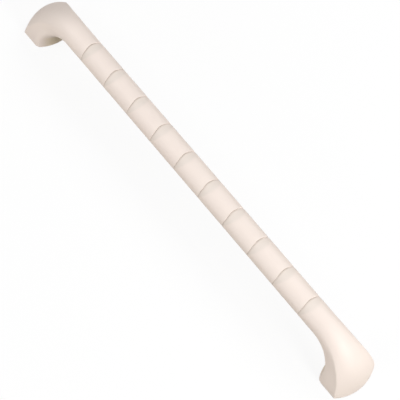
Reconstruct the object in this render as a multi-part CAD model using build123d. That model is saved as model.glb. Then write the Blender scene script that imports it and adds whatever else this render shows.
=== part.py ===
from build123d import *
import math
import os

# Overall sizes in millimetres: the wall is the plane z = 0 and the bar runs along X
overall_length = 610.0
bar_diameter = 32.0
wall_clearance = 38.0

# Wall face of a foot: two straight sides, and two ends that bow outwards
foot_width = 64.0
foot_side = 27.0
foot_bow = 10.5

# Elbow from the bar to the wall face: its front and back ridges, and how early each part of it flares
front_ridge_angle = 56.0
back_ridge_angle = 124.0
front_ridge_width = 3.5
back_ridge_width = 6.0
front_fullness = 0.25
back_fullness = 0.5
front_ridge_fullness = 0.5
back_ridge_fullness = 1.0
ridge_fullness = -0.5
elbow_steps = 5

# Grip steps along the front of the bar: a crease, then a ramp back up to the skin
grip_count = 10
grip_pitch = 44.2
crease_width = 0.9
crease_depth = 1.5
crease_offset = 1.2
ramp_length = 10.5
ramp_depth = 0.9
ramp_offset = 0.8
cutter_margin = 0.5

# Hollow in the back of a foot, with two screw bosses and the web that ties them to the walls
foot_wall = 4.0
hollow_depth = 16.0
hollow_draft = 18.0
boss_spacing = 34.0
boss_diameter = 10.0
pilot_diameter = 4.2
pilot_depth = 22.0
web_thickness = 3.0

# Sizes that follow from the ones above
quarter_turn = 90.0
bar_radius = bar_diameter / 2
bar_height = wall_clearance + bar_radius
foot_length = foot_side + 2 * foot_bow
foot_centre = overall_length / 2 - foot_length / 2
elbow_start = foot_centre - bar_height
straight_limit = 1e-6


def eased(turn, fullness):
    """How far a point has moved from the bar to the wall face; a fuller one moves earlier in the turn."""
    share = turn / quarter_turn
    return 3 * (1 - share) * share**2 * fullness + share**3


def elbow_point(turn, angle, out, across, out_fullness, across_fullness=0.0):
    """A point of the elbow's section, from its angle on the bar to its place on the wall face."""
    bar_out = bar_radius * math.cos(math.radians(angle))
    bar_across = bar_radius * math.sin(math.radians(angle))
    return Vector(
        bar_height + bar_out + (out - bar_out) * eased(turn, out_fullness),
        bar_across + (across - bar_across) * eased(turn, across_fullness),
    )


def elbow_arc(start, middle, end):
    """An arc through three points, or a line where they lie straight."""
    if abs((middle - start).cross(end - start).Z) < straight_limit:
        return Line(start, end)
    return ThreePointArc(start, middle, end)


def elbow_arcs(turn):
    """The four runs of the elbow's section: front, one side, back and the other side."""
    half_width = foot_width / 2
    half_side = foot_side / 2
    side_angle = (front_ridge_angle + back_ridge_angle) / 2
    side_fullness = (front_ridge_fullness + back_ridge_fullness) / 2
    front = elbow_point(turn, 0, foot_length / 2, 0, front_fullness)
    front_ridge = elbow_point(turn, front_ridge_angle, half_side, half_width, ridge_fullness, front_ridge_fullness)
    side = elbow_point(turn, side_angle, 0, half_width, ridge_fullness, side_fullness)
    back_ridge = elbow_point(turn, back_ridge_angle, -half_side, half_width, ridge_fullness, back_ridge_fullness)
    back = elbow_point(turn, 180, -foot_length / 2, 0, back_fullness)
    far_front_ridge, far_side, far_back_ridge = [
        Vector(point.X, -point.Y) for point in (front_ridge, side, back_ridge)
    ]
    return [
        elbow_arc(far_front_ridge, front, front_ridge),
        elbow_arc(front_ridge, side, back_ridge),
        elbow_arc(back_ridge, back, far_back_ridge),
        elbow_arc(far_back_ridge, far_side, far_front_ridge),
    ]


def ridge(before, after, turn):
    """The soft corner between two runs: part of the circle on the bar, tangent to both further down."""
    start, end = before @ 1, after @ 0
    leaving, arriving = before % 1, after % 0
    if turn == 0:
        return TangentArc(start, end, tangent=leaving)
    reach = (end - start).cross(arriving).Z / leaving.cross(arriving).Z
    return Bezier(start, start + leaving * reach, end)


def elbow_plane(turn):
    """The plane of a section, swung about a line on the wall under the start of the elbow."""
    angle = math.radians(turn)
    outwards = (math.sin(angle), 0, math.cos(angle))
    onwards = (-math.cos(angle), 0, math.sin(angle))
    return Plane(origin=(elbow_start, 0, 0), x_dir=outwards, z_dir=onwards)


def outer_section(turn):
    """The elbow's section with its corners softened, as a face in its own plane."""
    ridge_widths = [front_ridge_width, front_ridge_width, back_ridge_width, back_ridge_width]
    kept = []
    for place, run in enumerate(elbow_arcs(turn)):
        cut_start = ridge_widths[place] / 2 / run.length
        cut_end = ridge_widths[(place + 1) % len(ridge_widths)] / 2 / run.length
        kept.append(run.trim(cut_start, 1 - cut_end))
    outline = []
    for before, after in zip(kept, kept[1:] + kept[:1]):
        outline += [before, ridge(before, after, turn)]
    return elbow_plane(turn) * make_face(outline)


def hollow():
    """The pocket in the back of a foot: the wall face brought in by the foot's wall, drafted towards the bar."""
    rim = offset(make_face(elbow_arcs(quarter_turn)), amount=-foot_wall, kind=Kind.INTERSECTION)
    return extrude(elbow_plane(quarter_turn) * rim, amount=hollow_depth, taper=hollow_draft)


def foot():
    """The foot at the +X end: a flared elbow, hollow at the back, with two screw bosses on a web."""
    turns = [quarter_turn * step / elbow_steps for step in range(elbow_steps + 1)]
    elbow = loft([outer_section(turn) for turn in turns])
    upwards = (Align.CENTER, Align.CENTER, Align.MIN)
    places = [Pos(foot_centre, side * boss_spacing / 2, 0) for side in (-1, 1)]
    bosses = [place * Cylinder(boss_diameter / 2, bar_height, align=upwards) for place in places]
    pilots = [place * Cylinder(pilot_diameter / 2, pilot_depth, align=upwards) for place in places]
    web = Pos(foot_centre, 0, 0) * Box(web_thickness, foot_width, bar_height, align=upwards)
    return elbow - (hollow() - bosses - web) - pilots


def ring_cutter(set_back, *profile):
    """A ring turned about a line set back from the bar's axis, so it cuts deepest at the front."""
    ring = revolve(Plane.XZ * make_face(Polyline(*profile, close=True)), axis=Axis.X)
    return Pos(0, 0, bar_height - set_back) * ring


def grip_cutter():
    """One grip step: a V crease round the front, and a ramp from it back up to the skin."""
    crease_skin = bar_radius + crease_offset
    half_mouth = crease_width / 2 * (1 + cutter_margin / crease_depth)
    crease = ring_cutter(
        crease_offset,
        (-half_mouth, crease_skin + cutter_margin),
        (0, crease_skin - crease_depth),
        (half_mouth, crease_skin + cutter_margin),
    )
    ramp_skin = bar_radius + ramp_offset
    ramp_run = ramp_length * (1 + cutter_margin / ramp_depth)
    ramp = ring_cutter(
        ramp_offset,
        (0, ramp_skin + cutter_margin),
        (0, ramp_skin - ramp_depth),
        (ramp_run, ramp_skin + cutter_margin),
    )
    return crease + ramp


def bar():
    """The straight round bar between the elbows, with its row of grip steps."""
    rod = Pos(0, 0, bar_height) * Rot(0, 90, 0) * Cylinder(bar_radius, 2 * elbow_start)
    first = -grip_pitch * (grip_count - 1) / 2
    cutter = grip_cutter()
    return rod - [Pos(first + grip_pitch * index, 0, 0) * cutter for index in range(grip_count)]


def grab_bar():
    """The whole bar, moulded as one piece."""
    right_foot = foot()
    left_foot = mirror(right_foot, about=Plane.YZ)
    return bar() + right_foot + left_foot


os.makedirs("parts", exist_ok=True)
export_step(grab_bar(), "parts/grab_bar.step")
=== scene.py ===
import cmath
import math

import bmesh
import bpy
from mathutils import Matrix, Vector


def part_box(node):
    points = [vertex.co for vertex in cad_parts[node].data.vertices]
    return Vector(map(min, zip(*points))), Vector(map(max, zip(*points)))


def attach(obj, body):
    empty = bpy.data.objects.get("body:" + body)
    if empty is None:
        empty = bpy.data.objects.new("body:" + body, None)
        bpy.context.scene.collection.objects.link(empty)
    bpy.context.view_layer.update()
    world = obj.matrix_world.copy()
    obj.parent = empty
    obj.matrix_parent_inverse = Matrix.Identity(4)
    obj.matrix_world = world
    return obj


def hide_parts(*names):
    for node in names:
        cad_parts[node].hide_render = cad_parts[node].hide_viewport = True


bl_info = {
    "name": "Moulded Grab Bar",
    "version": (1, 0, 0),
    "blender": (4, 5, 0),
    "location": "View3D > Sidebar > Grab Bar",
    "description": "Dresses a one-piece plastic grab bar and sets the stage for its picture",
    "category": "Object",
}

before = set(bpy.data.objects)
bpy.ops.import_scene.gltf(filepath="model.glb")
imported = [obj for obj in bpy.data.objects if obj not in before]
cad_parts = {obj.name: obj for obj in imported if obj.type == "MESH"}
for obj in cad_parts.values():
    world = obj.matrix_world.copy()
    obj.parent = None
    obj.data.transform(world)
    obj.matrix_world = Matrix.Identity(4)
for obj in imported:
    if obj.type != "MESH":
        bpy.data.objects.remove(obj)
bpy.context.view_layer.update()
cad_low, cad_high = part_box("grab_bar")
BAR_NODE = "grab_bar"

# What the mesh tells the plastic about each point: how far it lies in a ramp, a crease or a crook, where
# the plastic is darkened as painted shade
RAMP_SHADE = "ramp_shade"
CREASE_SHADE = "crease_shade"
CROOK_SHADE = "crook_shade"

# Segments of a section's four runs (front, one side, back, other side) and of the soft ridge after each
RUN_SEGMENTS = (32, 18, 32, 18)
RIDGE_SEGMENTS = 6

# Rings down an elbow, steps round a rim and segments round a screw boss
ELBOW_RINGS = 56
RIM_STEPS = 4
BOSS_SEGMENTS = 48

# Where the middle of a rounded corner lies, as a share of its radius from each side
CORNER_MIDDLE = 0.3

# Edges that bend further than this stay sharp, and a run that bends less than this is straight
SHARP_ANGLE = math.radians(50)
STRAIGHT_LIMIT = 1e-9

# The plastic's noises, in waves to the metre, and the level that they swing about
CLOUD_SCALE = 26.0
FLOW_SCALE = 11.0
HANDLING_SCALE = 60.0
NOISE_MIDDLE = 0.5

# How much the noises and the ramps change the plastic's colour, gloss and grain; the ramps' colour is
# partly their matt plastic, partly painted shade
CREAM_SHARE = 0.8
RAMP_MATT_AND_SHADE = 0.7
RAMP_PATCHES = 0.6
HANDLING_DULLNESS = 0.10
CLOUD_DULLNESS = 0.05
RAMP_DULLNESS = 0.12
RAMP_GRAIN = 1.2
PEEL_SHARE = 1.5

# The floor lies this far below the wall faces, and its shadow is whole up to this share of its reach
FLOOR_GAP = 0.0002
WHOLE_SHADOW = 0.2

# The white of the floor and sky, and the width of the camera's sensor in millimetres
WHITE = (1.0, 1.0, 1.0, 1.0)
SENSOR_WIDTH = 36.0

# A Mix node's sockets and output for colours, whose names its other kinds share
MIX_SHARE = 0
MIX_FIRST = 6
MIX_SECOND = 7
MIX_COLOUR = 2


class GrabBarSizes(bpy.types.PropertyGroup):
    """The bar and its two feet."""

    overall_length: bpy.props.FloatProperty(
        name="Overall Length", description="Length over both feet",
        default=cad_high.x - cad_low.x, min=0.2, unit="LENGTH",
    )
    bar_diameter: bpy.props.FloatProperty(
        name="Bar Diameter", description="Thickness of the round bar",
        default=0.032, min=0.01, unit="LENGTH",
    )
    reach: bpy.props.FloatProperty(
        name="Reach", description="From the wall to the front of the bar",
        default=cad_high.z - cad_low.z, min=0.03, unit="LENGTH",
    )
    foot_width: bpy.props.FloatProperty(
        name="Foot Width", description="Width of a foot across the bar",
        default=cad_high.y - cad_low.y, min=0.03, unit="LENGTH",
    )
    foot_side: bpy.props.FloatProperty(
        name="Foot Side", description="Length of the straight sides of a foot's wall face",
        default=0.027, min=0.005, unit="LENGTH",
    )
    foot_bow: bpy.props.FloatProperty(
        name="Foot Bow", description="How far the two ends of a foot's wall face bow outwards",
        default=0.0105, min=0.001, unit="LENGTH",
    )
    front_ridge_angle: bpy.props.FloatProperty(
        name="Front Ridge",
        description="Where the elbow's front ridge starts, round the bar from its front",
        default=math.radians(56), subtype="ANGLE",
    )
    back_ridge_angle: bpy.props.FloatProperty(
        name="Back Ridge",
        description="Where the elbow's back ridge starts, round the bar from its front",
        default=math.radians(124), subtype="ANGLE",
    )
    front_ridge_width: bpy.props.FloatProperty(
        name="Front Ridge Width", description="Width of the soft front ridge",
        default=0.002, unit="LENGTH",
    )
    back_ridge_width: bpy.props.FloatProperty(
        name="Back Ridge Width", description="Width of the soft back ridge at the bar",
        default=0.006, unit="LENGTH",
    )
    back_corner_width: bpy.props.FloatProperty(
        name="Back Corner Width", description="Width of the soft back ridge at the wall",
        default=0.011, unit="LENGTH",
    )
    side_flatness: bpy.props.FloatProperty(
        name="Side Flatness", description="How flat the sides of the elbow are between their ridges",
        default=1.0, min=0, max=1, subtype="FACTOR",
    )
    rim_radius: bpy.props.FloatProperty(
        name="Rim Radius", description="Rounding of the edges that lie on the wall",
        default=0.0005, unit="LENGTH",
    )


class GripSizes(bpy.types.PropertyGroup):
    """The row of grip steps along the front of the bar."""

    count: bpy.props.IntProperty(
        name="Grip Count", description="Number of grip steps", default=10, min=1,
    )
    pitch: bpy.props.FloatProperty(
        name="Grip Pitch", description="From one grip step to the next",
        default=0.0442, min=0.02, unit="LENGTH",
    )
    crease_width: bpy.props.FloatProperty(
        name="Crease Width", description="Width of the crease at the front",
        default=0.0009, unit="LENGTH",
    )
    crease_depth: bpy.props.FloatProperty(
        name="Crease Depth", description="Depth of the crease at the front",
        default=0.0015, unit="LENGTH",
    )
    crease_offset: bpy.props.FloatProperty(
        name="Crease Offset", description="How far the crease's centre lies behind the bar's axis",
        default=0.0012, unit="LENGTH",
    )
    ramp_length: bpy.props.FloatProperty(
        name="Ramp Length", description="From the crease to where the ramp meets the skin",
        default=0.0105, unit="LENGTH",
    )
    ramp_depth: bpy.props.FloatProperty(
        name="Ramp Depth", description="Depth of the ramp beside the crease",
        default=0.0009, unit="LENGTH",
    )
    ramp_offset: bpy.props.FloatProperty(
        name="Ramp Offset", description="How far the ramp's centre lies behind the bar's axis",
        default=0.0008, unit="LENGTH",
    )
    lip_softness: bpy.props.FloatProperty(
        name="Lip Softness", description="Rounding of the crease's lips and foot",
        default=0.00012, unit="LENGTH",
    )
    lip_length: bpy.props.FloatProperty(
        name="Lip Length", description="How far before the crease the skin starts to roll down",
        default=0.0025, unit="LENGTH",
    )
    lip_roll: bpy.props.FloatProperty(
        name="Lip Roll", description="How far the skin has rolled down at the crease",
        default=0.00015, unit="LENGTH",
    )
    lip_bow: bpy.props.FloatProperty(
        name="Lip Bow", description="How far the crease bows back at the front of the bar",
        default=0.0015, unit="LENGTH",
    )
    bow_angle: bpy.props.FloatProperty(
        name="Bow Angle", description="Where the crease's bow ends, round the bar from its front",
        default=math.radians(50), subtype="ANGLE",
    )
    ramp_softness: bpy.props.FloatProperty(
        name="Ramp Softness", description="Rounding where the ramp meets the skin",
        default=0.00008, unit="LENGTH",
    )


class PocketSizes(bpy.types.PropertyGroup):
    """The hollow in the back of each foot, with its screw bosses and web."""

    wall: bpy.props.FloatProperty(
        name="Foot Wall", description="Wall round the pocket's mouth", default=0.004, unit="LENGTH",
    )
    depth: bpy.props.FloatProperty(
        name="Pocket Depth", description="Depth of the pocket from the wall",
        default=0.016, unit="LENGTH",
    )
    draft: bpy.props.FloatProperty(
        name="Pocket Draft", description="Lean of the pocket's walls",
        default=math.radians(18), subtype="ANGLE",
    )
    corner_width: bpy.props.FloatProperty(
        name="Corner Width", description="Width of the pocket's soft corners",
        default=0.0025, unit="LENGTH",
    )
    boss_spacing: bpy.props.FloatProperty(
        name="Boss Spacing", description="Between the two screw bosses of a foot",
        default=0.034, unit="LENGTH",
    )
    boss_diameter: bpy.props.FloatProperty(
        name="Boss Diameter", description="Outside of a screw boss", default=0.010, unit="LENGTH",
    )
    pilot_diameter: bpy.props.FloatProperty(
        name="Pilot Diameter", description="Blind hole in a screw boss", default=0.0042, unit="LENGTH",
    )
    pilot_depth: bpy.props.FloatProperty(
        name="Pilot Depth", description="Depth of the blind hole", default=0.022, unit="LENGTH",
    )
    web_thickness: bpy.props.FloatProperty(
        name="Web Thickness", description="The web that ties the bosses to the walls",
        default=0.003, unit="LENGTH",
    )


class PlasticColours(bpy.types.PropertyGroup):
    """The bar's ivory plastic."""

    ivory: bpy.props.FloatVectorProperty(
        name="Ivory", description="Main colour of the plastic",
        subtype="COLOR", size=3, default=(0.92, 0.81, 0.742), min=0, max=1,
    )
    cream: bpy.props.FloatVectorProperty(
        name="Cream", description="Paler clouds in the plastic",
        subtype="COLOR", size=3, default=(0.94, 0.84, 0.762), min=0, max=1,
    )
    blush: bpy.props.FloatVectorProperty(
        name="Blush", description="Warmer clouds in the plastic",
        subtype="COLOR", size=3, default=(0.905, 0.78, 0.717), min=0, max=1,
    )
    ramp_shade_ivory: bpy.props.FloatVectorProperty(
        name="Ramp Shade Ivory", description="The duller plastic of the matt grip ramps, darker also as painted shade",
        subtype="COLOR", size=3, default=(0.845, 0.762, 0.69), min=0, max=1,
    )
    crease_shade_brown: bpy.props.FloatVectorProperty(
        name="Crease Shade Brown", description="Painted shade in the foot of each crease",
        subtype="COLOR", size=3, default=(0.38, 0.30, 0.245), min=0, max=1,
    )
    crook_shade_yellow: bpy.props.FloatVectorProperty(
        name="Crook Shade Yellow", description="Painted shade in the crook behind each foot",
        subtype="COLOR", size=3, default=(0.89, 0.775, 0.60), min=0, max=1,
    )
    roughness: bpy.props.FloatProperty(
        name="Satin Roughness", description="Roughness of the moulded satin skin",
        default=0.55, min=0, max=1, subtype="FACTOR",
    )
    grain_size: bpy.props.FloatProperty(
        name="Grain Size", description="Size of the fine moulded grain",
        default=0.0007, min=0.0001, unit="LENGTH",
    )
    grain_depth: bpy.props.FloatProperty(
        name="Grain Depth", description="Depth of the fine moulded grain",
        default=0.00003, unit="LENGTH",
    )
    peel_size: bpy.props.FloatProperty(
        name="Peel Size", description="Size of the slow waves under the grain",
        default=0.004, min=0.001, unit="LENGTH",
    )


class StageSettings(bpy.types.PropertyGroup):
    """Floor, light and camera."""

    floor_colour: bpy.props.FloatVectorProperty(
        name="Floor Colour", description="The warm floor, as it lights the bar from below",
        subtype="COLOR", size=3, default=(0.20, 0.15, 0.085), min=0, max=1,
    )
    floor_size: bpy.props.FloatProperty(
        name="Floor Size", description="Width of the floor", default=12.0, unit="LENGTH",
    )
    shadow_share: bpy.props.FloatProperty(
        name="Shadow Share", description="How much of the bar's shadow the white floor keeps",
        default=0.12, min=0, max=1, subtype="FACTOR",
    )
    shadow_reach: bpy.props.FloatProperty(
        name="Shadow Reach", description="The distance over which the floor's shadow fades out",
        default=1.2, min=0.1, unit="LENGTH",
    )
    sky_strength: bpy.props.FloatProperty(
        name="Sky Strength", description="Even light from all round", default=0.15, min=0,
    )
    end_power: bpy.props.FloatProperty(
        name="End Softbox Power", description="Power of the soft lamp off the near end",
        default=13.6, min=0, unit="POWER",
    )
    end_place: bpy.props.FloatVectorProperty(
        name="End Softbox Place", description="Where the soft lamp off the near end stands",
        subtype="TRANSLATION", size=3, default=(1.384, 0.073, 0.84),
    )
    end_size: bpy.props.FloatProperty(
        name="End Softbox Size", description="Width of the soft lamp off the near end",
        default=0.45, min=0.1, unit="LENGTH",
    )
    low_power: bpy.props.FloatProperty(
        name="Low Softbox Power", description="Power of the low soft lamp at the bar's -Y side",
        default=10.6, min=0, unit="POWER",
    )
    low_place: bpy.props.FloatVectorProperty(
        name="Low Softbox Place", description="Where the low soft lamp at the bar's -Y side stands",
        subtype="TRANSLATION", size=3, default=(0.0, -1.565, 0.373),
    )
    high_power: bpy.props.FloatProperty(
        name="High Softbox Power", description="Power of the high soft lamp at the bar's +Y side",
        default=12.0, min=0, unit="POWER",
    )
    high_place: bpy.props.FloatVectorProperty(
        name="High Softbox Place", description="Where the high soft lamp at the bar's +Y side stands",
        subtype="TRANSLATION", size=3, default=(0.0, 1.029, 1.266),
    )
    far_power: bpy.props.FloatProperty(
        name="Far Softbox Power", description="Power of the soft lamp behind the far foot",
        default=6.6, min=0, unit="POWER",
    )
    far_place: bpy.props.FloatVectorProperty(
        name="Far Softbox Place", description="Where the soft lamp behind the far foot stands",
        subtype="TRANSLATION", size=3, default=(-0.867, -0.867, 1.069),
    )
    softbox_size: bpy.props.FloatProperty(
        name="Softbox Size", description="Width of each of the other soft lamps",
        default=0.9, min=0.1, unit="LENGTH",
    )
    camera_place: bpy.props.FloatVectorProperty(
        name="Camera Place", description="Where the camera stands",
        subtype="TRANSLATION", size=3, default=(0.330768, -0.404182, 1.285513),
    )
    camera_turn: bpy.props.FloatVectorProperty(
        name="Camera Turn", description="How the camera is turned",
        subtype="EULER", size=3, default=(0.3705128, -0.0869994, 0.8838276),
    )
    lens: bpy.props.FloatProperty(
        name="Lens", description="Focal length in millimetres on a 36 mm wide sensor",
        default=103.793, min=1,
    )


class Shade:
    """One output of a node, so that shader maths reads as Python."""

    def __init__(self, tree, socket):
        self.tree = tree
        self.socket = socket

    def maths(self, operation, first, second):
        """A Math node on two values, each a Shade or a number."""
        return self.tree.node("ShaderNodeMath", {"operation": operation}, {0: first, 1: second})

    def __add__(self, other):
        return self.maths("ADD", self, other)

    def __radd__(self, other):
        return self.maths("ADD", other, self)

    def __sub__(self, other):
        return self.maths("SUBTRACT", self, other)

    def __rsub__(self, other):
        return self.maths("SUBTRACT", other, self)

    def __mul__(self, other):
        return self.maths("MULTIPLY", self, other)

    def __rmul__(self, other):
        return self.maths("MULTIPLY", other, self)


class NodeTree:
    """The nodes of a material or of the world, added one at a time."""

    def __init__(self, owner):
        owner.use_nodes = True
        self.tree = owner.node_tree
        self.tree.nodes.clear()

    def node(self, kind, settings, sockets, output=0):
        """Adds a node: its settings first, then the values or links of its sockets."""
        added = self.tree.nodes.new(kind)
        for name, value in settings.items():
            setattr(added, name, value)
        for key, value in sockets.items():
            if isinstance(value, Shade):
                self.tree.links.new(value.socket, added.inputs[key])
            else:
                added.inputs[key].default_value = value
        return Shade(self, added.outputs[output]) if added.outputs else None

    def noise(self, place, scale, **sockets):
        """A noise pattern over a place, with so many waves to the metre."""
        return self.node("ShaderNodeTexNoise", {}, {"Vector": place, "Scale": scale, **sockets})

    def shade(self, name):
        """One of the shades that the mesh carries."""
        return self.node("ShaderNodeAttribute", {"attribute_name": name}, {}, output="Fac")

    def mixed(self, share, first, second):
        """A colour between two colours."""
        settings = {"data_type": "RGBA", "blend_type": "MIX"}
        sockets = {MIX_SHARE: share, MIX_FIRST: first, MIX_SECOND: second}
        return self.node("ShaderNodeMix", settings, sockets, output=MIX_COLOUR)

    def mixed_shader(self, share, first, second):
        """A shader between two shaders."""
        return self.node("ShaderNodeMixShader", {}, {0: share, 1: first, 2: second})


def opaque(colour):
    """A colour property as the four numbers that a colour socket takes."""
    return (*colour, 1.0)


def plastic_finish(colours):
    """Ivory satin plastic: faint clouds of colour, uneven gloss, the fine grain of a moulded skin, and
    painted shade in the creases, on the ramps and in the crooks.
    """
    material = bpy.data.materials.new("ivory_satin_plastic")
    tree = NodeTree(material)
    place = tree.node("ShaderNodeTexCoord", {}, {}, output="Object")
    clouds = tree.noise(place, CLOUD_SCALE, Detail=3.0, Roughness=0.55)
    flow = tree.noise(place, FLOW_SCALE, Detail=2.0, Distortion=0.6)
    handling = tree.noise(place, HANDLING_SCALE, Detail=4.0, Roughness=0.6)
    grain = tree.noise(place, 1 / colours.grain_size, Detail=2.0)
    peel = tree.noise(place, 1 / colours.peel_size, Detail=1.0)
    ramp = tree.shade(RAMP_SHADE)
    crease = tree.shade(CREASE_SHADE)
    crook = tree.shade(CROOK_SHADE)
    cloud_swing = clouds - NOISE_MIDDLE
    handling_swing = handling - NOISE_MIDDLE
    warm = tree.mixed(clouds, opaque(colours.ivory), opaque(colours.blush))
    skin = tree.mixed(flow * CREAM_SHARE, warm, opaque(colours.cream))
    # Painted shade in the crook behind each foot, warm like the shadow there
    crook_shaded = tree.mixed(crook, skin, opaque(colours.crook_shade_yellow))
    # The ramps: partly their duller matt plastic, partly painted shade
    ramp_shade_share = ramp * (RAMP_MATT_AND_SHADE + RAMP_PATCHES * handling_swing)
    ramp_shaded = tree.mixed(ramp_shade_share, crook_shaded, opaque(colours.ramp_shade_ivory))
    # Painted shade in the foot of each crease
    colour = tree.mixed(crease, ramp_shaded, opaque(colours.crease_shade_brown))
    dullness = HANDLING_DULLNESS * handling_swing + CLOUD_DULLNESS * cloud_swing + RAMP_DULLNESS * ramp
    roughness = colours.roughness + dullness
    height = grain * (1 + RAMP_GRAIN * ramp) + PEEL_SHARE * peel
    normal = tree.node(
        "ShaderNodeBump", {}, {"Strength": 1.0, "Distance": colours.grain_depth, "Height": height}
    )
    shader = tree.node(
        "ShaderNodeBsdfPrincipled",
        {},
        {"Base Color": colour, "Roughness": roughness, "IOR": 1.5, "Normal": normal},
    )
    tree.node("ShaderNodeOutputMaterial", {}, {"Surface": shader})
    return material


def white_to_the_eye(tree):
    """1 for rays from the camera, off gloss or through glass, and 0 for rays that only carry light."""
    camera = tree.node("ShaderNodeLightPath", {}, {}, output="Is Camera Ray")
    glossy = tree.node("ShaderNodeLightPath", {}, {}, output="Is Glossy Ray")
    through = tree.node("ShaderNodeLightPath", {}, {}, output="Is Transmission Ray")
    return tree.node("ShaderNodeClamp", {}, {"Value": camera + glossy + through})


def floor_finish(stage):
    """A floor that looks white, keeps a share of the bar's shadow and sends up a warm light."""
    material = bpy.data.materials.new("pale_floor")
    tree = NodeTree(material)
    seen = white_to_the_eye(tree)
    place = tree.node("ShaderNodeTexCoord", {}, {}, output="Object")
    apart = tree.node("ShaderNodeVectorMath", {"operation": "LENGTH"}, {0: place}, output="Value")
    fading = 1 + WHOLE_SHADOW - apart * (1 / stage.shadow_reach)
    near = tree.node("ShaderNodeClamp", {}, {"Value": fading})
    warm = tree.node("ShaderNodeBsdfDiffuse", {}, {"Color": opaque(stage.floor_colour)})
    shadowed = tree.node("ShaderNodeBsdfDiffuse", {}, {"Color": WHITE})
    white = tree.node("ShaderNodeEmission", {}, {"Color": WHITE, "Strength": 1.0})
    shown = tree.mixed_shader(near * stage.shadow_share, white, shadowed)
    both = tree.mixed_shader(seen, warm, shown)
    tree.node("ShaderNodeOutputMaterial", {}, {"Surface": both})
    return material


def eased(share, fullness):
    """How far a point has moved from the bar to the wall face; a fuller one moves earlier in the turn."""
    return 3 * (1 - share) * share**2 * fullness + share**3


class Run:
    """One run of a section: the arc through three points, written as out + across * 1j."""

    def __init__(self, first, middle, last):
        self.first, self.last = first, last
        slant = (last - first) / (middle - first)
        self.straight = abs(slant.imag) < STRAIGHT_LIMIT
        if self.straight:
            self.length = abs(last - first)
            return
        self.centre = first + (middle - first) * (slant - abs(slant) ** 2) / (2j * slant.imag)
        self.sweep = cmath.phase((last - self.centre) / (first - self.centre))
        self.length = abs(first - self.centre) * abs(self.sweep)

    def point(self, share):
        """The point after a share of the run."""
        if self.straight:
            return self.first + (self.last - self.first) * share
        return self.centre + (self.first - self.centre) * cmath.exp(1j * self.sweep * share)

    def heading(self, share):
        """The way the run goes after a share of it."""
        if self.straight:
            return self.last - self.first
        return 1j * self.sweep * (self.point(share) - self.centre)


def cross(first, second):
    """The cross product of two ways, each written as out + across * 1j."""
    return (first.conjugate() * second).imag


def softened(runs, widths):
    """One closed ring of points along the runs, with a soft corner at the start of each."""
    kept = []
    for place, run in enumerate(runs):
        start = widths[place] / 2 / run.length
        end = 1 - widths[(place + 1) % len(widths)] / 2 / run.length
        kept.append((run, start, end))
    ring = []
    for place, (run, start, end) in enumerate(kept):
        segments = RUN_SEGMENTS[place]
        ring += [run.point(start + (end - start) * step / segments) for step in range(segments + 1)]
        after, after_start, _ = kept[(place + 1) % len(kept)]
        leaving, arriving = run.heading(end), after.heading(after_start)
        here, there = run.point(end), after.point(after_start)
        corner = here + leaving * cross(there - here, arriving) / cross(leaving, arriving)
        for step in range(1, RIDGE_SEGMENTS):
            share = step / RIDGE_SEGMENTS
            ring.append((1 - share) ** 2 * here + 2 * share * (1 - share) * corner + share**2 * there)
    return ring


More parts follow.
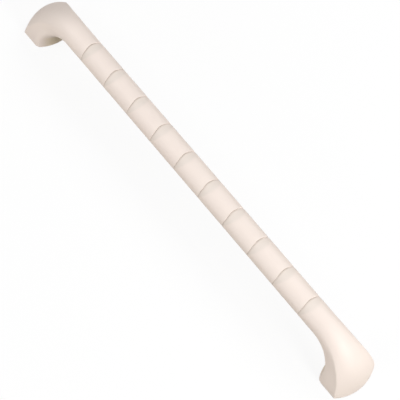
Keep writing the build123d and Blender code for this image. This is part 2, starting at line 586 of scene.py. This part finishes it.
class Moulding:
    """The surface of the bar: rings of points from one foot's pocket, along the bar, to the other's."""

    # How early the elbow flares: its front and back outwards, its ridges across and then outwards
    FRONT_FULLNESS = 0.25
    BACK_FULLNESS = 0.5
    FRONT_RIDGE_FULLNESS = 0.75
    BACK_RIDGE_FULLNESS = 1.0
    RIDGE_FULLNESS = -0.5

    # The part of the turn over which the elbow's sides go flat, and the last ring before the rim
    FLATTENING = (0.15, 0.6)
    LAST_RING = 0.97

    # Rings up the pocket's walls, as shares of its depth, and round its floor, in rim radii in and down
    WALL_LEVELS = (0.25, 0.5, 0.75, 0.92)
    FLOOR_CORNER = ((0.5, 0.3), (2.0, 0.0))

    # The gap between the web and the wall, in rim radii
    WEB_GAP = 0.4

    # Rings before, in and past a crease, in halves of its width
    LIP_STEPS = (-7.0, -5.6, -4.5, -3.5, -2.6, -2.0, -1.6, -1.3, -1.12, -1.0)
    CREASE_STEPS = (-0.88, -0.72, -0.5, -0.3, -0.15, -0.05, 0.05, 0.15, 0.3, 0.42, 0.52, 0.65, 0.8)
    FOOT_STEPS = (1.0, 1.3, 1.8)

    # Rings up a ramp, round its end and on to the next crease, in ramp lengths
    RAMP_STEPS = (0.2, 0.27, 0.35, 0.43, 0.5, 0.57, 0.64, 0.71, 0.77, 0.83, 0.88, 0.92)
    RAMP_END_STEPS = (0.96, 1.0, 1.04, 1.08, 1.13, 1.2)
    SKIN_STEPS = (1.35, 1.6, 2.0, 2.5, 3.0, 3.5)

    # Rings before the first crease, and the room left before the elbow, in ramp lengths
    LEAD_STEPS = (2.2, 1.7, 1.2, 0.8, 0.5)
    ELBOW_ROOM = 0.2

    # The crease's bow: the share of it that goes backwards, and where along the ramp it dies away
    BOW_BACKWARDS = 0.85
    BOW_END = (1.0, 0.2)

    # The ramp's painted shade: its end in ramp lengths, and what it loses over a turn towards +Y, in
    # radians, as that side is lit more
    RAMP_SHADE_END = (1.15, 0.75)
    RAMP_SHADE_TURN = (0.2, 0.8)
    RAMP_SHADE_LOSS = 0.5

    # The crease's painted shade: its start in crease depths, and its fainter edge on the ramp in crease
    # widths
    CREASE_SHADE_START = (0.0, 0.5)
    CREASE_EDGE_END = (2.0, 0.0)
    CREASE_EDGE_SHARE = 0.5

    # How dark the crease's painted shade is, what it loses over a turn towards +Y, as that side is lit
    # more, and the cosines where it ends behind
    CREASE_DARKNESS = 0.94
    CREASE_LOSS = 0.48
    CREASE_LOSS_TURN = (0.0, math.radians(40))
    CREASE_SHADE_END = (-0.3, 0.1)

    # The crook's painted shade: from the foot's middle inwards, in half foot lengths, and up from the wall,
    # in clearances
    CROOK_INWARDS = (0.63, 0.92)
    CROOK_UPWARDS = (0.68, 0.37)

    def __init__(self, sizes, grips, pocket):
        self.sizes, self.grips, self.pocket = sizes, grips, pocket
        self.radius = sizes.bar_diameter / 2
        self.height = sizes.reach - self.radius
        self.clearance = self.height - self.radius
        self.foot_length = sizes.foot_side + 2 * sizes.foot_bow
        self.foot_centre = (sizes.overall_length - self.foot_length) / 2
        self.elbow_start = self.foot_centre - self.height
        self.angles = [cmath.phase(point - self.height) for point in self.section(0.0)]

    def section(self, share):
        """The elbow's section after a share of its quarter turn, in its own plane."""
        sizes = self.sizes
        half_side, half_width = sizes.foot_side / 2, sizes.foot_width / 2

        def moved(angle, goal, out_fullness, across_fullness):
            """A point on its way from an angle on the bar to its goal on the wall face."""
            start = cmath.rect(self.radius, angle)
            out = start.real + (goal.real - start.real) * eased(share, out_fullness)
            across = start.imag + (goal.imag - start.imag) * eased(share, across_fullness)
            return complex(self.height + out, across)

        front_angle, back_angle = sizes.front_ridge_angle, sizes.back_ridge_angle
        side_fullness = (self.FRONT_RIDGE_FULLNESS + self.BACK_RIDGE_FULLNESS) / 2
        front = moved(0.0, self.foot_length / 2, self.FRONT_FULLNESS, 0.0)
        front_ridge = moved(
            front_angle, complex(half_side, half_width), self.RIDGE_FULLNESS, self.FRONT_RIDGE_FULLNESS
        )
        side = moved(
            (front_angle + back_angle) / 2, complex(0.0, half_width), self.RIDGE_FULLNESS, side_fullness
        )
        back_ridge = moved(
            back_angle, complex(-half_side, half_width), self.RIDGE_FULLNESS, self.BACK_RIDGE_FULLNESS
        )
        level = (front_ridge + back_ridge) / 2
        side += (level - side) * sizes.side_flatness * smooth_step(*self.FLATTENING, share)
        back = complex(moved(math.pi, -self.foot_length / 2, self.BACK_FULLNESS, 0.0).real, 0.0)
        runs = [
            Run(front_ridge.conjugate(), front, front_ridge),
            Run(front_ridge, side, back_ridge),
            Run(back_ridge, back, back_ridge.conjugate()),
            Run(back_ridge.conjugate(), side.conjugate(), front_ridge.conjugate()),
        ]
        crisp = sizes.front_ridge_width
        soft = sizes.back_ridge_width + (sizes.back_corner_width - sizes.back_ridge_width) * share
        return softened(runs, (crisp, crisp, soft, soft))

    def swung(self, share, point):
        """A section's point at its place in the elbow at the +X end."""
        angle = share * math.pi / 2
        along = self.elbow_start + point.real * math.sin(angle)
        return Vector((along, point.imag, point.real * math.cos(angle)))

    def elbow(self):
        """Rings from the end of the bar down to the wall, the last ones rounding the rim."""
        rim = self.sizes.rim_radius
        shares = [self.LAST_RING * step / ELBOW_RINGS for step in range(1, ELBOW_RINGS + 1)]
        rings = [[self.swung(share, point) for point in self.section(share)] for share in shares]
        edge = []
        for place, point in enumerate(self.section(1.0)):
            share = 1 - math.asin(rim / point.real) * 2 / math.pi
            edge.append(self.swung(share, self.section(share)[place]))
        rings.append(edge)
        outward = self.outward(edge)
        for step in range(1, RIM_STEPS + 1):
            angle = step / RIM_STEPS * math.pi / 2
            rings.append([
                point - side * rim * (1 - math.cos(angle)) - Vector((0, 0, rim * math.sin(angle)))
                for point, side in zip(edge, outward)
            ])
        return rings

    @staticmethod
    def outward(ring):
        """The outward direction along the wall at each point of a ring."""
        ways = []
        for before, after in zip(ring[-1:] + ring[:-1], ring[1:] + ring[:1]):
            along = after - before
            ways.append(Vector((along.y, -along.x, 0)).normalized())
        return ways

    def pocket_ring(self, inset, depth):
        """The pocket's outline, brought in from the wall face."""
        sizes = self.sizes
        half_width, bow = sizes.foot_width / 2, sizes.foot_bow
        bow_radius = (half_width**2 + bow**2) / (2 * bow)
        bow_centre = self.foot_length / 2 - bow_radius
        across = half_width - inset
        corner = complex(bow_centre + math.sqrt((bow_radius - inset) ** 2 - across**2), across)
        front = self.foot_length / 2 - inset
        runs = [
            Run(corner.conjugate(), front, corner),
            Run(corner, complex(0.0, across), -corner.conjugate()),
            Run(-corner.conjugate(), -front, -corner),
            Run(-corner, complex(0.0, -across), corner.conjugate()),
        ]
        width = self.pocket.corner_width
        ring = softened(runs, (width,) * len(runs))
        return [Vector((self.foot_centre + point.real, point.imag, depth)) for point in ring]

    def pocket_rings(self):
        """Rings from the pocket's rounded mouth up its drafted walls to its floor."""
        wall, depth, rim = self.pocket.wall, self.pocket.depth, self.sizes.rim_radius
        slope = math.tan(self.pocket.draft)
        rings = []
        for step in range(RIM_STEPS + 1):
            angle = step / RIM_STEPS * math.pi / 2
            rings.append(self.pocket_ring(wall - rim * (1 - math.sin(angle)), rim * (1 - math.cos(angle))))
        for level in self.WALL_LEVELS:
            rings.append(self.pocket_ring(wall + depth * level * slope, depth * level))
        floor_inset = wall + depth * slope
        for inwards, down in self.FLOOR_CORNER:
            rings.append(self.pocket_ring(floor_inset + rim * inwards, depth - rim * down))
        return rings

    @staticmethod
    def set_back(ring, offset, angle):
        """The distance from the bar's axis to a ring whose centre lies further back."""
        return math.sqrt(ring**2 - (offset * math.sin(angle)) ** 2) - offset * math.cos(angle)

    def ramp_radius(self, along, angle):
        """The bar's radius on a grip's ramp, which ends where it meets the skin."""
        grips = self.grips
        if along < 0:
            return self.radius - grips.lip_roll * max(1 + along / grips.lip_length, 0.0) ** 2
        ring = self.radius + grips.ramp_offset - grips.ramp_depth * (1 - along / grips.ramp_length)
        return soft_least(self.radius, self.set_back(ring, grips.ramp_offset, angle), grips.ramp_softness)

    def grip_radius(self, along, angle):
        """The bar's radius at a distance past a grip's crease and an angle round the bar."""
        grips = self.grips
        spread = math.hypot(along, grips.lip_softness) / (grips.crease_width / 2)
        ring = self.radius + grips.crease_offset - grips.crease_depth * (1 - spread)
        crease = self.set_back(ring, grips.crease_offset, angle)
        return soft_least(self.ramp_radius(along, angle), crease, grips.lip_softness)

    def grip_shades(self, along, angle):
        """How far a point lies in a ramp and in a crease, each from 0 on the skin to 1, for the finish's
        painted shade there.
        """
        grips = self.grips
        ramp_end = grips.ramp_length * (1 - grips.ramp_offset / grips.ramp_depth * (1 - math.cos(angle)))
        if along < 0 or ramp_end <= 0:
            ramp = 0.0
        else:
            turned = smooth_step(*self.RAMP_SHADE_TURN, angle)
            ramp = smooth_step(*self.RAMP_SHADE_END, along / ramp_end) * (1 - self.RAMP_SHADE_LOSS * turned)
        depth = max(grips.crease_depth - grips.crease_offset * (1 - math.cos(angle)), grips.lip_softness)
        sunk = self.ramp_radius(along, angle) - self.grip_radius(along, angle)
        crease = smooth_step(*self.CREASE_SHADE_START, sunk / depth)
        if along > 0:
            edge = smooth_step(*self.CREASE_EDGE_END, along / grips.crease_width)
            crease = max(crease, self.CREASE_EDGE_SHARE * edge)
        darkness = self.CREASE_DARKNESS - self.CREASE_LOSS * smooth_step(*self.CREASE_LOSS_TURN, angle)
        return ramp, crease * darkness * smooth_step(*self.CREASE_SHADE_END, math.cos(angle))

    def bow(self, along, angle):
        """How far a crease and its ramp lie from where they would be if the crease were straight."""
        grips = self.grips
        shift = grips.lip_bow * (smooth_step(0.0, grips.bow_angle, abs(angle)) - self.BOW_BACKWARDS)
        return shift * smooth_step(*self.BOW_END, along / grips.ramp_length)

    def stations(self):
        """Places along the bar, each with its distance past the nearest crease, or None near an elbow."""
        grips = self.grips
        half_crease, ramp = grips.crease_width / 2, grips.ramp_length
        steps = [half_crease * step for step in self.LIP_STEPS + self.CREASE_STEPS + self.FOOT_STEPS]
        steps += [ramp * step for step in self.RAMP_STEPS + self.RAMP_END_STEPS + self.SKIN_STEPS]
        first = -grips.pitch * (grips.count - 1) / 2
        places = [(-self.elbow_start, None)]
        places += [(first - ramp * step, None) for step in self.LEAD_STEPS]
        for index in range(grips.count):
            places += [(first + grips.pitch * index + step, step) for step in steps]
        end = self.elbow_start - ramp * self.ELBOW_ROOM
        return [place for place in places if place[0] < end] + [(self.elbow_start, None)]

    def bar(self):
        """Rings along the bar, stepped in at each grip."""
        rings = []
        for place, past in self.stations():
            ring = []
            for angle in self.angles:
                reach, shift = self.radius, 0.0
                if past is not None:
                    reach, shift = self.grip_radius(past, angle), self.bow(past, angle)
                upwards = self.height + reach * math.cos(angle)
                ring.append(Vector((place + shift, reach * math.sin(angle), upwards)))
            rings.append(ring)
        return rings

    def bar_shades(self):
        """The ramp and crease shades of each ring along the bar."""
        shades = []
        for _, past in self.stations():
            if past is None:
                shades.append([(0.0, 0.0) for _ in self.angles])
            else:
                shades.append([self.grip_shades(past, angle) for angle in self.angles])
        return shades

    def crook_shade(self, point):
        """How far a point of a foot's outside lies in the crook under the bar, where shade is painted, from
        0 to 1.
        """
        inwards = (self.foot_centre - abs(point.x)) / (self.foot_length / 2)
        upwards = point.z / self.clearance
        return smooth_step(*self.CROOK_INWARDS, inwards) * smooth_step(*self.CROOK_UPWARDS, upwards)

    def boss_profile(self):
        """A screw boss, as radii and heights from the wall up into the pocket's floor."""
        depth, rim, outside = self.pocket.depth, self.sizes.rim_radius, self.pocket.boss_diameter / 2
        middle = rim * CORNER_MIDDLE
        foot = [(outside - rim, 0.0), (outside - middle, middle), (outside, rim)]
        root = [(outside, depth - rim), (outside + middle, depth - middle), (outside + rim, depth)]
        return foot + root + [(outside + rim, depth + rim)]

    def pilot_profile(self):
        """The blind hole in a boss, as radii and heights from below its soft mouth to its end."""
        depth, rim, hole = self.pocket.pilot_depth, self.sizes.rim_radius, self.pocket.pilot_diameter / 2
        middle = rim * CORNER_MIDDLE
        mouth = [(hole + rim, -rim), (hole + rim, 0.0), (hole + middle, middle), (hole, rim)]
        return mouth + [(hole, depth - rim / 2), (hole - rim / 2, depth)]

    def web_profile(self):
        """The web's section, as places along the bar and heights, its lower edges soft."""
        rim, half = self.sizes.rim_radius, self.pocket.web_thickness / 2
        low, high = rim * self.WEB_GAP, self.pocket.depth + rim
        middle = rim * CORNER_MIDDLE
        soft_side = [(half - rim, low), (half - middle, low + middle), (half, low + rim), (half, high)]
        return soft_side + [(-along, height) for along, height in reversed(soft_side)]

    def foot_centres(self):
        """The middles of the two wall faces."""
        return [Vector((side * self.foot_centre, 0.0, 0.0)) for side in (-1, 1)]

    def boss_centres(self):
        """Where the four screw bosses stand on the wall."""
        across = Vector((0.0, self.pocket.boss_spacing / 2, 0.0))
        return [centre + across * side for centre in self.foot_centres() for side in (-1, 1)]


def smooth_step(start, end, value):
    """0 up to the start and 1 from the end on, eased between them."""
    share = min(max((value - start) / (end - start), 0.0), 1.0)
    return share * share * (3 - 2 * share)


def soft_least(first, second, softness):
    """The lesser of two values, rounded where they are nearly equal."""
    overlap = max(softness - abs(first - second), 0.0) / softness
    return min(first, second) - overlap**2 * softness / 4


def add_tube(mesh, rings):
    """Adds a closed tube of quads through the rings and gives back its vertices, ring by ring."""
    rows = [[mesh.verts.new(point) for point in ring] for ring in rings]
    for before, after in zip(rows, rows[1:]):
        for place in range(len(before)):
            follow = (place + 1) % len(before)
            mesh.faces.new((before[place], before[follow], after[follow], after[place]))
    mesh.faces.new(rows[0])
    mesh.faces.new(reversed(rows[-1]))
    return rows


def turned_ring(centre, radius, height):
    """A ring of points round an upright line."""
    turns = [2 * math.pi * step / BOSS_SEGMENTS for step in range(BOSS_SEGMENTS)]
    return [centre + Vector((radius * math.cos(turn), radius * math.sin(turn), height)) for turn in turns]


def closed_piece(scene, name, built):
    """An object from a finished bmesh, its faces turned outwards."""
    bmesh.ops.recalc_face_normals(built, faces=built.faces)
    mesh = bpy.data.meshes.new(name)
    built.to_mesh(mesh)
    built.free()
    piece = bpy.data.objects.new(name, mesh)
    scene.collection.objects.link(piece)
    return piece


def merge(piece, form, operation):
    """Joins a closed form to a piece, or cuts it out, and does away with the form."""
    step = piece.modifiers.new(form.name, "BOOLEAN")
    step.operation = operation
    step.solver = "MANIFOLD"
    step.object = form
    before = piece.data
    name = before.name
    merged = piece.evaluated_get(bpy.context.evaluated_depsgraph_get())
    piece.data = bpy.data.meshes.new_from_object(merged)
    piece.modifiers.clear()
    if len(piece.data.vertices) == len(before.vertices):
        raise RuntimeError(f"{form.name} did not merge with {piece.name}")
    used_up = form.data
    bpy.data.objects.remove(form)
    for mesh in (before, used_up):
        bpy.data.meshes.remove(mesh)
    piece.data.name = name


class GRABBAR_OT_mould_bar(bpy.types.Operator):
    """Mould the whole bar, rail and feet in one piece, in ivory plastic"""

    bl_idname = "grabbar.mould_bar"
    bl_label = "Mould Bar"
    bl_options = {"REGISTER", "UNDO"}

    def execute(self, context):
        scene = context.scene
        moulding = Moulding(scene.grab_bar_sizes, scene.grab_bar_grips, scene.grab_bar_pocket)
        built = bmesh.new()
        ramp_layer = built.verts.layers.float.new(RAMP_SHADE)
        crease_layer = built.verts.layers.float.new(CREASE_SHADE)
        crook_layer = built.verts.layers.float.new(CROOK_SHADE)
        pocket = moulding.pocket_rings()
        right = moulding.elbow() + pocket
        left = [[Vector((-point.x, point.y, point.z)) for point in ring] for ring in reversed(right)]
        rows = add_tube(built, left + moulding.bar() + right)
        for row in rows[len(pocket):-len(pocket)]:
            for vertex in row:
                vertex[crook_layer] = moulding.crook_shade(vertex.co)
        for row, shades in zip(rows[len(left):], moulding.bar_shades()):
            for vertex, (ramp, crease) in zip(row, shades):
                vertex[ramp_layer] = ramp
                vertex[crease_layer] = crease
        piece = closed_piece(scene, "grab_bar_moulding", built)
        self.fill_pockets(scene, piece, moulding)
        mesh = piece.data
        mesh.polygons.foreach_set("use_smooth", [True] * len(mesh.polygons))
        mesh.set_sharp_from_angle(angle=SHARP_ANGLE)
        mesh.materials.clear()
        mesh.materials.append(plastic_finish(scene.grab_bar_colours))
        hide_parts(BAR_NODE)
        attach(piece, "root")
        return {"FINISHED"}

    def fill_pockets(self, scene, piece, moulding):
        """Puts screw bosses and a web in each foot's pocket, and a blind hole in each boss."""
        bosses, webs, pilots = bmesh.new(), bmesh.new(), bmesh.new()
        for centre in moulding.boss_centres():
            add_tube(bosses, [turned_ring(centre, *place) for place in moulding.boss_profile()])
            add_tube(pilots, [turned_ring(centre, *place) for place in moulding.pilot_profile()])
        end = moulding.sizes.foot_width / 2 - moulding.pocket.wall + moulding.sizes.rim_radius
        for centre in moulding.foot_centres():
            ends = [
                [centre + Vector((along, across, height)) for along, height in moulding.web_profile()]
                for across in (-end, end)
            ]
            add_tube(webs, ends)
        merge(piece, closed_piece(scene, "screw_bosses", bosses), "UNION")
        merge(piece, closed_piece(scene, "webs", webs), "UNION")
        merge(piece, closed_piece(scene, "pilot_holes", pilots), "DIFFERENCE")


class GRABBAR_OT_set_stage(bpy.types.Operator):
    """Lay the floor, set soft lamps round the bar and place the camera"""

    bl_idname = "grabbar.set_stage"
    bl_label = "Set Stage"
    bl_options = {"REGISTER", "UNDO"}

    def execute(self, context):
        scene = context.scene
        stage = scene.grab_bar_stage
        scene.view_settings.view_transform = "Standard"
        self.lay_floor(scene, stage)
        self.light(scene, stage)
        self.set_camera(scene, stage)
        return {"FINISHED"}

    def lay_floor(self, scene, stage):
        """Lays the floor just under the wall faces."""
        half = stage.floor_size / 2
        mesh = bpy.data.meshes.new("floor")
        corners = [(-half, -half, 0), (half, -half, 0), (half, half, 0), (-half, half, 0)]
        mesh.from_pydata(corners, [], [(0, 1, 2, 3)])
        mesh.materials.append(floor_finish(stage))
        floor = bpy.data.objects.new("floor", mesh)
        floor.location.z = cad_low.z - FLOOR_GAP
        scene.collection.objects.link(floor)

    def light(self, scene, stage):
        """Sets four softboxes round the bar, under a weak even sky that looks white."""
        size = stage.softbox_size
        self.add_softbox(scene, "end_softbox", stage.end_place, stage.end_power, stage.end_size)
        self.add_softbox(scene, "low_softbox", stage.low_place, stage.low_power, size)
        self.add_softbox(scene, "high_softbox", stage.high_place, stage.high_power, size)
        self.add_softbox(scene, "far_softbox", stage.far_place, stage.far_power, size)
        sky = bpy.data.worlds.new("soft_sky")
        tree = NodeTree(sky)
        seen = white_to_the_eye(tree)
        even = tree.node("ShaderNodeBackground", {}, {"Strength": stage.sky_strength, "Color": WHITE})
        white = tree.node("ShaderNodeBackground", {}, {"Strength": 1.0, "Color": WHITE})
        tree.node("ShaderNodeOutputWorld", {}, {"Surface": tree.mixed_shader(seen, even, white)})
        scene.world = sky

    def add_softbox(self, scene, name, place, power, size):
        """Sets a square soft lamp that faces the middle of the bar."""
        lamp = bpy.data.lights.new(name, "AREA")
        lamp.shape = "SQUARE"
        lamp.size = size
        lamp.energy = power
        softbox = bpy.data.objects.new(name, lamp)
        softbox.location = place
        middle = Vector((0.0, 0.0, cad_high.z / 2))
        softbox.rotation_euler = (middle - Vector(place)).to_track_quat("-Z", "Y").to_euler()
        scene.collection.objects.link(softbox)

    def set_camera(self, scene, stage):
        """Places the camera and makes it the scene's own."""
        data = bpy.data.cameras.new("camera")
        data.sensor_width = SENSOR_WIDTH
        data.lens = stage.lens
        camera = bpy.data.objects.new("camera", data)
        camera.location = stage.camera_place
        camera.rotation_euler = stage.camera_turn
        scene.collection.objects.link(camera)
        scene.camera = camera


class GRABBAR_PT_panel(bpy.types.Panel):
    """Sizes, colours and steps of the grab bar"""

    bl_idname = "GRABBAR_PT_panel"
    bl_label = "Grab Bar"
    bl_space_type = "VIEW_3D"
    bl_region_type = "UI"
    bl_category = "Grab Bar"

    def draw(self, context):
        for title, name, _ in SETTINGS:
            group = getattr(context.scene, name)
            box = self.layout.box()
            box.label(text=title)
            for prop in group.bl_rna.properties:
                if prop.identifier not in ("rna_type", "name"):
                    box.prop(group, prop.identifier)
        for operator in OPERATORS:
            self.layout.operator(operator.bl_idname)


SETTINGS = (
    ("Bar and Feet", "grab_bar_sizes", GrabBarSizes),
    ("Grip Steps", "grab_bar_grips", GripSizes),
    ("Foot Pocket", "grab_bar_pocket", PocketSizes),
    ("Plastic", "grab_bar_colours", PlasticColours),
    ("Stage", "grab_bar_stage", StageSettings),
)
OPERATORS = (GRABBAR_OT_mould_bar, GRABBAR_OT_set_stage)


def register():
    for _, name, group in SETTINGS:
        bpy.utils.register_class(group)
        setattr(bpy.types.Scene, name, bpy.props.PointerProperty(type=group))
    for operator in OPERATORS:
        bpy.utils.register_class(operator)
    bpy.utils.register_class(GRABBAR_PT_panel)


def unregister():
    bpy.utils.unregister_class(GRABBAR_PT_panel)
    for operator in reversed(OPERATORS):
        bpy.utils.unregister_class(operator)
    for _, name, group in reversed(SETTINGS):
        delattr(bpy.types.Scene, name)
        bpy.utils.unregister_class(group)


def main():
    register()
    bpy.ops.grabbar.mould_bar()
    bpy.ops.grabbar.set_stage()


if __name__ == "__main__":
    main()
